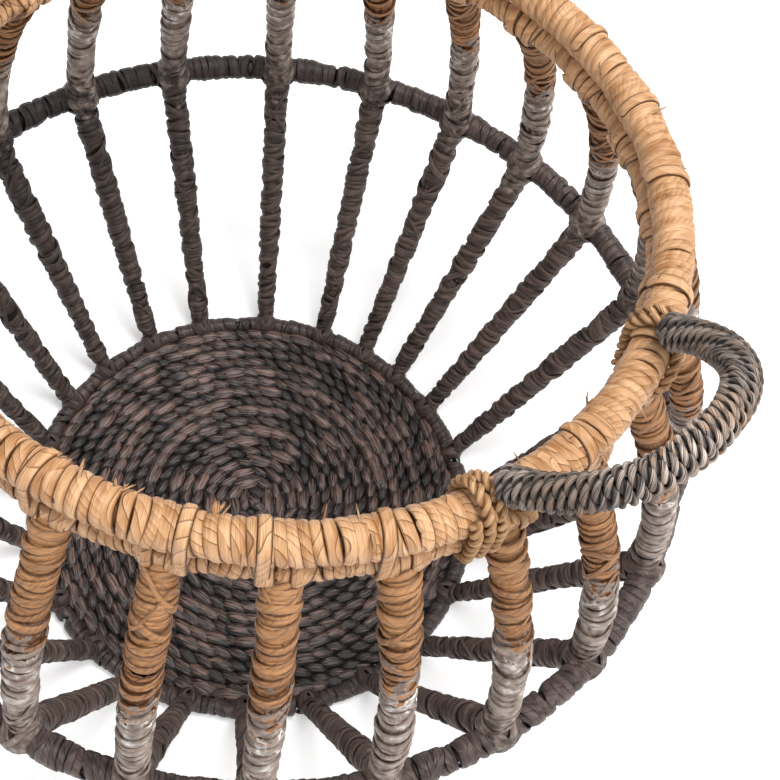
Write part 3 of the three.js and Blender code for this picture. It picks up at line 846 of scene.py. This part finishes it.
# Where each tuft stands round the rim, and how long its ends are
tufts = ((-54, 0.0080), (-66, 0.0035), (-76, 0.0030))
runs = []
for number in range(fray_count):
    azimuth = fray_luck.uniform(0, 360)
    upper = number % 3 > 0
    height, reach = (rim_height, fray_upper_reach) if upper else (
        lower_rim_height, fray_lower_reach)
    degrees = fray_luck.uniform(-40, 200) if upper else fray_luck.uniform(150, 390)
    lean = fray_luck.choice((-1, 1)) * fray_luck.uniform(6, 16)
    drift_along = fray_luck.uniform(-0.0025, 0.0025)
    rise = fray_luck.choice((short_rise, middle_rise, long_rise)) * fray_luck.uniform(0.7, 1.3)
    width = fray_luck.uniform(0.0006, 0.0018)
    runs.append(fray(height, reach, degrees, lean, azimuth, drift_along, rise, width))
for azimuth, longest in tufts:
    for number in range(tuft_ends):
        runs.append(fray(
            rim_height, tuft_reach, fray_luck.uniform(120, 140), fray_luck.uniform(2, 8),
            azimuth + fray_luck.uniform(-1, 1), fray_luck.uniform(-0.005, 0.005),
            longest * fray_luck.uniform(0.5, 1), fray_luck.uniform(0.0009, 0.0024)))
frays = leaf_straps("Frayed_ends", runs, fray_thickness)
frays.data.materials.append(natural_material)
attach(frays, "root")


# Handles
# Each handle is a bent wire loop, closely wound with grey two-ply seagrass cord. Its bare
# ends lie on the upper hoop under their lashings.
handle_half_angle = 17
handle_tilt = math.radians(40)
handle_depth = 0.057
handle_squareness = 2.35
handle_seat_out = 0.002
handle_seat_up = 0.0167
handle_core_radius = 0.0030
handle_wire_width = 0.0044
cord_radius = 0.0024
cord_pitch = 0.0042
cord_twist = 0.0106


def rope_tree(plies):
    """Plies twisted round a path. Each starts as a cylinder, whose height becomes the way
    along the rope."""
    tree, given = new_tree(f"Rope of {plies} plies", {
        "Path": "Object", "Radius": "Float", "Twist": "Float", "Steps": "Int",
        "Material": "Material",
    })
    value = given.outputs
    path = add(tree, "GeometryNodeObjectInfo", {"Object": value["Path"]}).outputs["Geometry"]
    length = add(tree, "GeometryNodeCurveLength", [path])
    place = add(tree, "ShaderNodeSeparateXYZ", [add(tree, "GeometryNodeInputPosition")])
    share = add(tree, "ShaderNodeMath", [place.outputs[2], 0.5], operation="ADD")
    travel = add(tree, "ShaderNodeMath", [share, length], operation="MULTIPLY")
    sample = add(tree, "GeometryNodeSampleCurve", {"Curves": path, "Length": travel},
                 mode="LENGTH", use_all_curves=True)
    point, tangent, normal = (sample.outputs[name] for name in ("Position", "Tangent", "Normal"))
    across = add(tree, "ShaderNodeVectorMath", [tangent, normal], operation="CROSS_PRODUCT")
    twists = add(tree, "ShaderNodeMath", [travel, value["Twist"]], operation="DIVIDE")
    whole = add(tree, "ShaderNodeMath", [length, value["Twist"]], operation="DIVIDE")
    segments = add(tree, "ShaderNodeMath", [whole, value["Steps"]], operation="MULTIPLY")

    # Each ply's section is an oval that stands from the rope's middle to its outside
    ply_way = add(tree, "ShaderNodeMath", [place.outputs[0], 0.56, 0.5], operation="MULTIPLY_ADD")
    outward = add(tree, "ShaderNodeMath", [ply_way, value["Radius"]], operation="MULTIPLY")
    plump = add(tree, "ShaderNodeMath", [place.outputs[1], 0.66], operation="MULTIPLY")
    sideward = add(tree, "ShaderNodeMath", [plump, value["Radius"]], operation="MULTIPLY")
    mark = add(tree, "ShaderNodeCombineXYZ", [travel, place.outputs[1], place.outputs[0]])
    rope = add(tree, "GeometryNodeJoinGeometry")
    for ply in range(plies):
        turn = add(tree, "ShaderNodeMath", [twists, ply / plies], operation="ADD")
        angle = add(tree, "ShaderNodeMath", [turn, 2 * math.pi], operation="MULTIPLY")
        cosine = add(tree, "ShaderNodeMath", [angle], operation="COSINE")
        sine = add(tree, "ShaderNodeMath", [angle], operation="SINE")
        back = add(tree, "ShaderNodeMath", [sine, -1], operation="MULTIPLY")
        shares = ((normal, cosine), (across, sine), (normal, back), (across, cosine))
        spin = [add(tree, "ShaderNodeVectorMath", {0: axis, "Scale": size}, operation="SCALE")
                for axis, size in shares]
        radial = add(tree, "ShaderNodeVectorMath", [spin[0], spin[1]], operation="ADD")
        flank = add(tree, "ShaderNodeVectorMath", [spin[2], spin[3]], operation="ADD")
        out = add(tree, "ShaderNodeVectorMath", {0: radial, "Scale": outward}, operation="SCALE")
        wide = add(tree, "ShaderNodeVectorMath", {0: flank, "Scale": sideward}, operation="SCALE")
        moved = add(tree, "ShaderNodeVectorMath", [point, out], operation="ADD")
        placed = add(tree, "ShaderNodeVectorMath", [moved, wide], operation="ADD")
        rod = add(tree, "GeometryNodeMeshCylinder", {
            "Vertices": 8, "Side Segments": segments, "Radius": 1, "Depth": 1})
        marked = add(tree, "GeometryNodeStoreNamedAttribute", {
            "Geometry": rod.outputs["Mesh"], "Name": "strip", "Value": mark},
            data_type="FLOAT_VECTOR", domain="POINT")
        strand = add(tree, "GeometryNodeSetPosition", {"Geometry": marked, "Position": placed})
        tree.links.new(strand.outputs[0], rope.inputs[0])
    return finish_tree(tree, rope, value["Material"])


def fibre_rope(name, pale, deep, fleck, end_dye):
    """Seagrass twisted by hand: matt fibres along each ply, flecks where the dye missed, more of
    it taken up towards both feet of a handle, and painted shade where the two plies meet."""
    material, tree, shader = new_material(name)
    strip = add(tree, "ShaderNodeAttribute", attribute_name="strip").outputs["Vector"]
    drawn = add(tree, "ShaderNodeVectorMath", {0: strip, 1: (110, 4.5, 4.5)}, operation="MULTIPLY")
    fibre = add(tree, "ShaderNodeTexNoise", {"Vector": drawn, "Scale": 1, "Detail": 2})
    place = add(tree, "ShaderNodeTexCoord").outputs["Object"]
    patch = add(tree, "ShaderNodeTexNoise", {"Vector": place, "Scale": 130, "Detail": 2})
    spot = add(tree, "ShaderNodeTexNoise", {"Vector": place, "Scale": 330, "Detail": 1})
    tone = add(tree, "ShaderNodeMath", [fibre, 5.0, -2.8], operation="MULTIPLY_ADD")
    tone = add(tree, "ShaderNodeMath", [patch, 1.5, tone], operation="MULTIPLY_ADD",
               use_clamp=True)
    body = add(tree, "ShaderNodeMix", {0: tone, 6: srgb(deep), 7: srgb(pale)}, data_type="RGBA")
    tinge = add(tree, "ShaderNodeTexNoise", {"Vector": place, "Scale": 48, "Detail": 1})
    thin_dye = add(tree, "ShaderNodeMapRange", {
        "Value": tinge, "From Min": 0.46, "From Max": 0.62, "To Max": 0.55})
    thinned = add(tree, "ShaderNodeMath", [thin_dye, tone], operation="MULTIPLY")
    spots = add(tree, "ShaderNodeMapRange", {
        "Value": spot, "From Min": 0.60, "From Max": 0.72, "To Max": 0.6})
    missed = add(tree, "ShaderNodeMath", [spots, thinned], operation="MAXIMUM")
    colour = add(tree, "ShaderNodeMix", {0: missed, 6: body, 7: srgb(fleck)}, data_type="RGBA")
    apart = add(tree, "ShaderNodeSeparateXYZ", [place])
    off_middle = add(tree, "ShaderNodeMath", [apart.outputs[0], apart.outputs[1]],
                     operation="MULTIPLY")
    far_foot = add(tree, "ShaderNodeMapRange", {
        "Value": off_middle, "From Min": -0.001, "From Max": 0.007, "To Max": end_dye})
    near_foot = add(tree, "ShaderNodeMapRange", {
        "Value": off_middle, "From Min": -0.0040, "From Max": -0.0085, "To Max": 0.95 * end_dye})
    soaked = add(tree, "ShaderNodeMath", [far_foot, near_foot], operation="MAXIMUM")
    shaded = add(tree, "ShaderNodeMix", {0: soaked, 6: colour, 7: srgb(deep)}, data_type="RGBA")
    # Painted shade: each ply darkens towards the rope's middle, where it meets the other ply
    inward = add(tree, "ShaderNodeSeparateXYZ", [strip]).outputs["Z"]
    groove_shade = add(tree, "ShaderNodeMapRange", {
        "Value": inward, "From Min": 0.3, "From Max": -0.5, "To Max": 0.92})
    groove_shaded = add(tree, "ShaderNodeMix", {0: groove_shade, 6: shaded, 7: srgb(deep)}, data_type="RGBA")
    link_colour(tree, shader, groove_shaded)
    bump = add(tree, "ShaderNodeBump", {"Strength": 0.6, "Distance": 0.0005, "Height": fibre})
    tree.links.new(bump.outputs[0], shader.inputs["Normal"])
    shader.inputs["Roughness"].default_value = 0.7
    return material


def handle_point(turn):
    """The loop's line, square-shouldered, in a plane that leans out from the rim."""
    seat = mouth_radius + handle_seat_out
    half = math.radians(handle_half_angle)
    power = 2 / handle_squareness
    across = -math.copysign(abs(math.cos(turn)) ** power, math.cos(turn))
    out = handle_depth * max(math.sin(turn), 0) ** power
    return Vector((seat * math.cos(half) + out * math.cos(handle_tilt),
                   seat * math.sin(half) * across,
                   rim_height + handle_seat_up + out * math.sin(handle_tilt)))


def even_points(points, spacing):
    """The same line with its points an even distance apart."""
    lengths = [(b - a).length for a, b in zip(points, points[1:])]
    count = round(sum(lengths) / spacing)
    spread, passed, i = [points[0]], 0, 0
    for step in range(1, count):
        goal = sum(lengths) * step / count
        while passed + lengths[i] < goal:
            passed += lengths[i]
            i += 1
        spread.append(points[i].lerp(points[i + 1], (goal - passed) / lengths[i]))
    return spread + [points[-1]]


def handle_loop(spacing):
    """The loop's line from foot to foot."""
    steps = 240
    return even_points([handle_point(math.pi * i / steps) for i in range(steps + 1)], spacing)


def cord_line():
    """The cord's coil over the loop, from one foot to the other."""
    steps_per_turn = 18
    loop = handle_loop(cord_pitch / steps_per_turn)
    plane_normal = Vector((-math.sin(handle_tilt), 0, math.cos(handle_tilt)))
    coil = []
    for i, point in enumerate(loop):
        ahead = loop[min(i + 1, len(loop) - 1)] - loop[max(i - 1, 0)]
        level = plane_normal.cross(ahead).normalized()
        turn = 2 * math.pi * i / steps_per_turn
        out = math.cos(turn) * level + math.sin(turn) * plane_normal
        coil.append(point + (handle_core_radius + cord_radius) * out)
    return coil


def core_line():
    """The wire inside the loop, whose two ends lie down along the top of the upper hoop."""
    spacing = 0.003
    rests = ((0.0130, 17.3), (0.0110, 18.2), (0.0098, 19.1), (0.0090, 20.0))
    tails = [[round_hoop(rim_height, reach, 90, foot * azimuth)[0] for reach, azimuth in rests]
             for foot in (-1, 1)]
    return tails[0][::-1] + handle_loop(spacing) + tails[1]


def turned_about(points, side):
    """The line itself for the handle at +X, or turned half round for the one at -X."""
    return [Vector((point.x * side, point.y * side, point.z)) for point in points]


two_ply = rope_tree(2)
grey_cord = fibre_rope("Seagrass cord, grey dye", "E6D3C5", "161110", "B5865A", 0.62)
for side, name in ((1, "right"), (-1, "left")):
    cord = wind(f"Handle_cord_{name}", two_ply, turned_about(cord_line(), side), False, {
        "Radius": cord_radius, "Twist": cord_twist, "Steps": 18, "Material": grey_cord})
    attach(cord, "root")
    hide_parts(f"handle_cord_{name}")
    lean = Vector((-side * math.sin(handle_tilt), 0, math.cos(handle_tilt)))
    spots = [(point, lean) for point in turned_about(core_line(), side)]
    core = leaf_straps(f"Handle_wire_{name}", [(spots, handle_wire_width)], handle_wire_width)
    core.data.materials.append(wire_material)
    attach(core, "root")
    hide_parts(f"handle_core_{name}")


# Lashings
# A tan two-ply rope ties each foot of a handle down, with turns round both rim hoops and
# over the handle's bare end.
lashing_radius = 0.0025
lashing_pitch = 0.0052
lashing_turns = 2.6
lashing_start = 17.4
lashing_tail_rise = 0.0042
lashing_twist = 0.0100
lashing_upper_reach = 0.0090
lashing_lower_reach = 0.0078


def lashing_line(foot):
    """Turns that pass under the lower hoop and over the upper one, away from the handle."""
    points = []
    arc = 8
    steps_per_turn = 2 * (arc + 1)
    for i in range(round(lashing_turns * steps_per_turn) + 1):
        station = i % steps_per_turn
        on_upper = station > arc
        swing = 180 * (station % (arc + 1)) / arc
        reach = lashing_radius + (lashing_upper_reach if on_upper else lashing_lower_reach)
        if on_upper:
            reach += lashing_tail_rise * math.sin(math.radians(swing)) ** 4
        azimuth = foot * (lashing_start + lashing_pitch * i / steps_per_turn * degrees_per_metre)
        height = rim_height if on_upper else lower_rim_height
        points.append(round_hoop(height, reach, swing if on_upper else 180 + swing, azimuth)[0])
    return points


def lashing_tail(foot):
    """The rope's end, drawn down past the handle's foot and tucked under the upper hoop."""
    reach = 0.0114
    way = ((62, 20.5), (45, 19.2), (28, 17.6), (10, 15.8), (-8, 14.2), (-28, 13.2), (-52, 12.8))
    return [round_hoop(rim_height, reach, swing, foot * azimuth)[0] for swing, azimuth in way]


tan_rope = fibre_rope("Seagrass rope, natural", "D8B083", "8F643C", "6B4526", 0)
for side, name in ((1, "right"), (-1, "left")):
    for foot, end in ((1, "back"), (-1, "front")):
        for label, line in (("Lashing", lashing_line(foot)), ("Lashing_tail", lashing_tail(foot))):
            rope = wind(f"{label}_{name}_{end}", two_ply, turned_about(line, side), False, {
                "Radius": lashing_radius, "Twist": lashing_twist, "Steps": 14,
                "Material": tan_rope})
            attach(rope, "root")
            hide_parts(f"lashing_{name}_{end}")


# Floor, light and camera
# A pale floor under soft light from a wide overhead panel and a weaker one at the side, seen
# from the photograph's place.
floor_mesh = bpy.data.meshes.new("Floor")
floor_reach = 4
floor_mesh.from_pydata(
    [(-floor_reach, -floor_reach, 0), (floor_reach, -floor_reach, 0),
     (floor_reach, floor_reach, 0), (-floor_reach, floor_reach, 0)], [], [(0, 1, 2, 3)])
floor = bpy.data.objects.new("Floor", floor_mesh)
bpy.context.scene.collection.objects.link(floor)
floor_paint, _, floor_shader = new_material("Pale studio floor")
floor_shader.inputs["Base Color"].default_value = srgb("F4F4F4")
floor_shader.inputs["Roughness"].default_value = 0.9
floor_shader.inputs["Emission Color"].default_value = srgb("FFFFFF")
floor_shader.inputs["Emission Strength"].default_value = 0.3
floor_mesh.materials.append(floor_paint)

world = bpy.data.worlds.new("Studio")
world.use_nodes = True
bpy.context.scene.world = world
world.node_tree.nodes["Background"].inputs["Color"].default_value = (1, 1, 1, 1)
world.node_tree.nodes["Background"].inputs["Strength"].default_value = 0.5


def panel(name, place, size, power):
    """A square soft light that faces the basket's middle."""
    light = bpy.data.lights.new(name, "AREA")
    light.size = size
    light.energy = power
    lamp = bpy.data.objects.new(name, light)
    lamp.location = place
    aim = Vector((0, 0, 0.15)) - lamp.location
    lamp.rotation_euler = aim.to_track_quat("-Z", "Y").to_euler()
    bpy.context.scene.collection.objects.link(lamp)
    return lamp


overhead = panel("Overhead panel", (0.5, 0.2, 2.3), 1.2, 58)
fill = panel("Side panel", (1.9, -1.3, 1.4), 1.4, 11)

# The photograph looks down into the basket from its front left, with the camera rolled
focal_pixels = 1422
image_pixels = 780
view_azimuth = 31.0
view_elevation = 58.3
view_roll = 14.0
view_target = Vector((0.380, 0.605, 0.0)) * mouth_radius
view_distance = 5.462 * mouth_radius

turned = Matrix.Rotation(math.radians(view_azimuth), 3, "Z")
dip = math.radians(view_elevation)
roll = math.radians(view_roll)
forward = turned @ Vector((0, math.cos(dip), -math.sin(dip)))
level_right = turned @ Vector((1, 0, 0))
level_up = level_right.cross(forward)
right = math.cos(roll) * level_right + math.sin(roll) * level_up
up = math.cos(roll) * level_up - math.sin(roll) * level_right
eye = turned @ view_target + Vector((0, 0, base_height)) - view_distance * forward
lens = bpy.data.cameras.new("Camera")
lens.sensor_width = 36
lens.lens = lens.sensor_width * focal_pixels / image_pixels
camera = bpy.data.objects.new("Camera", lens)
pose = Matrix((right, up, -forward)).transposed().to_4x4()
pose.translation = eye
camera.matrix_world = pose
bpy.context.scene.collection.objects.link(camera)
bpy.context.scene.camera = camera
bpy.context.scene.view_settings.view_transform = "Standard"
